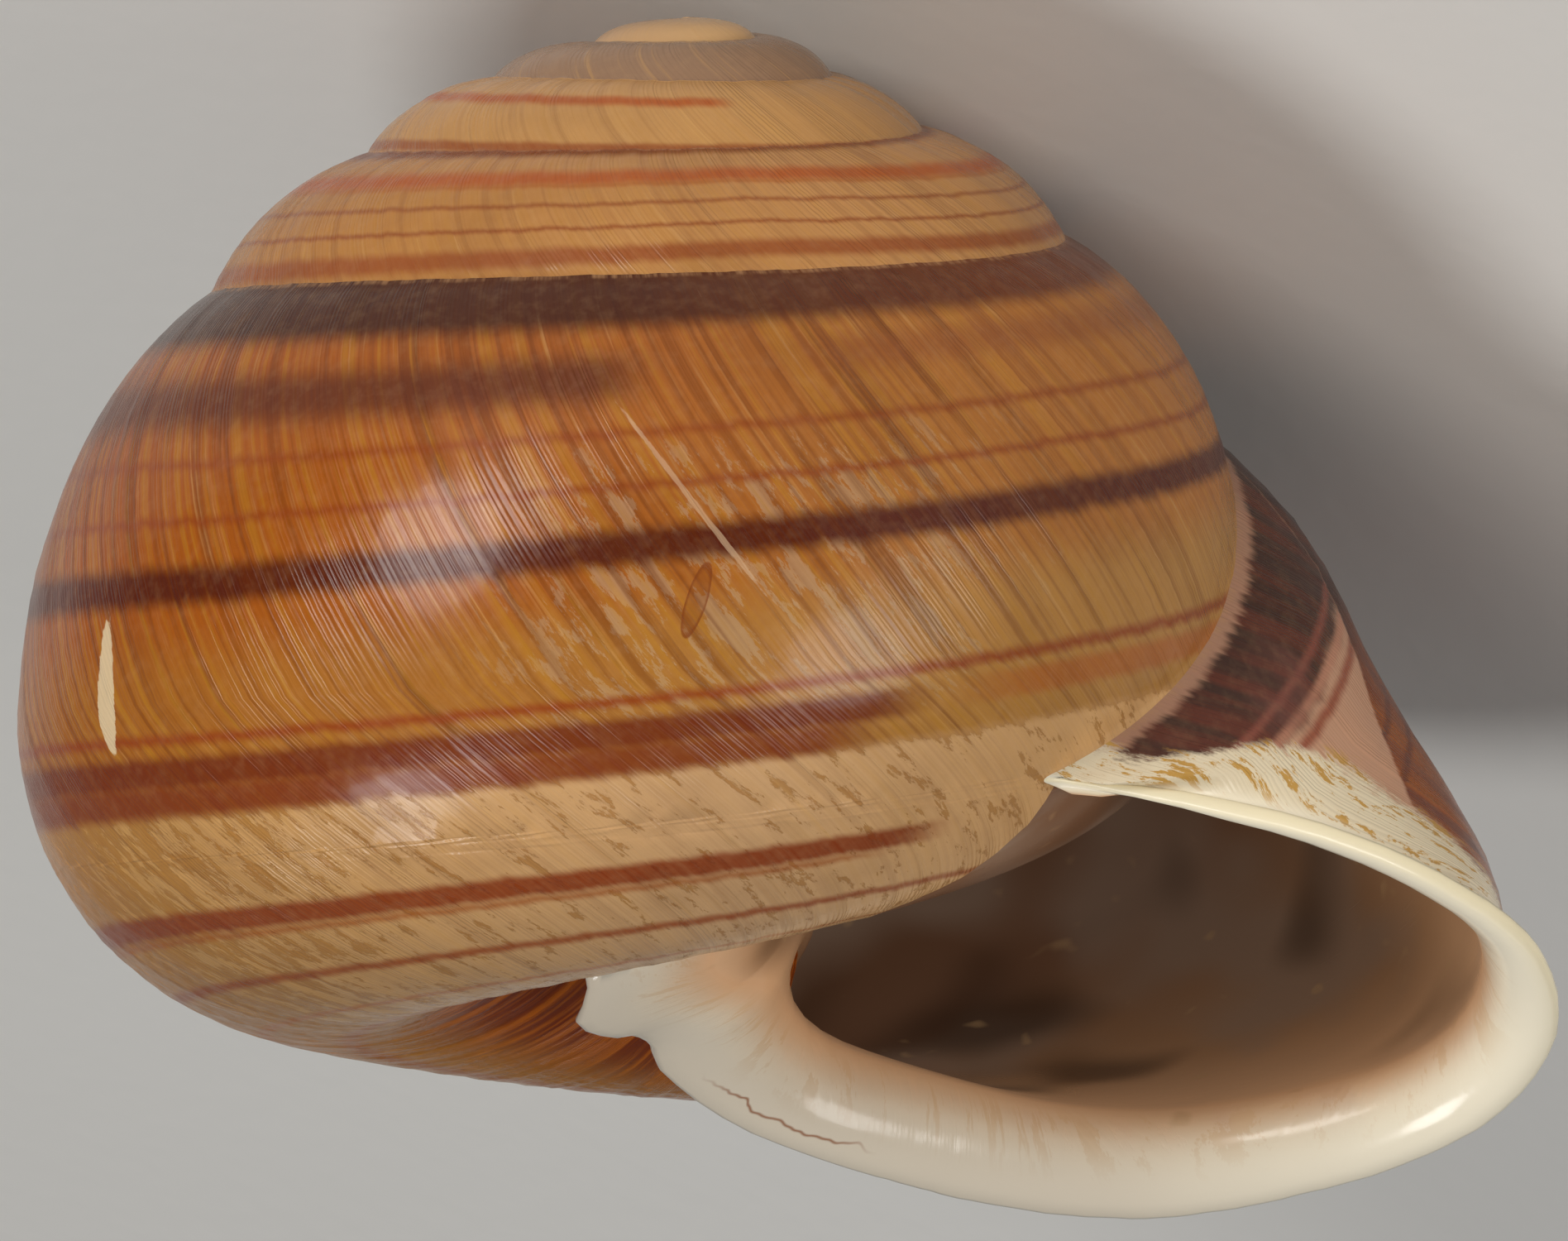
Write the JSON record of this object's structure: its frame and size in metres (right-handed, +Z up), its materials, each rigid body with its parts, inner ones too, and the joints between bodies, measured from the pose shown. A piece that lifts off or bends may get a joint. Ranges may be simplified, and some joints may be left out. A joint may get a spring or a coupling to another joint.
{
  "type": "land snail shell",
  "caption": "Coiled land snail shell with a domed spire, banded body whorl and wide flared white lip, lying on its back with the mouth turned up.",
  "frame": {"origin": "centre of the resting box's underside, at the height of the small flat the shell lies on", "axes": "+Z up as it lies; the mouth faces up, the top of the spire points down and to -Y, and the flared lip is towards -X"},
  "size_m": [0.043, 0.0358, 0.0307],
  "materials": {
    "shell": "glossy, banded brown, amber and cream"
  },
  "bodies": {
    "root": {"shell": "shell"}
  },
  "joints": []
}
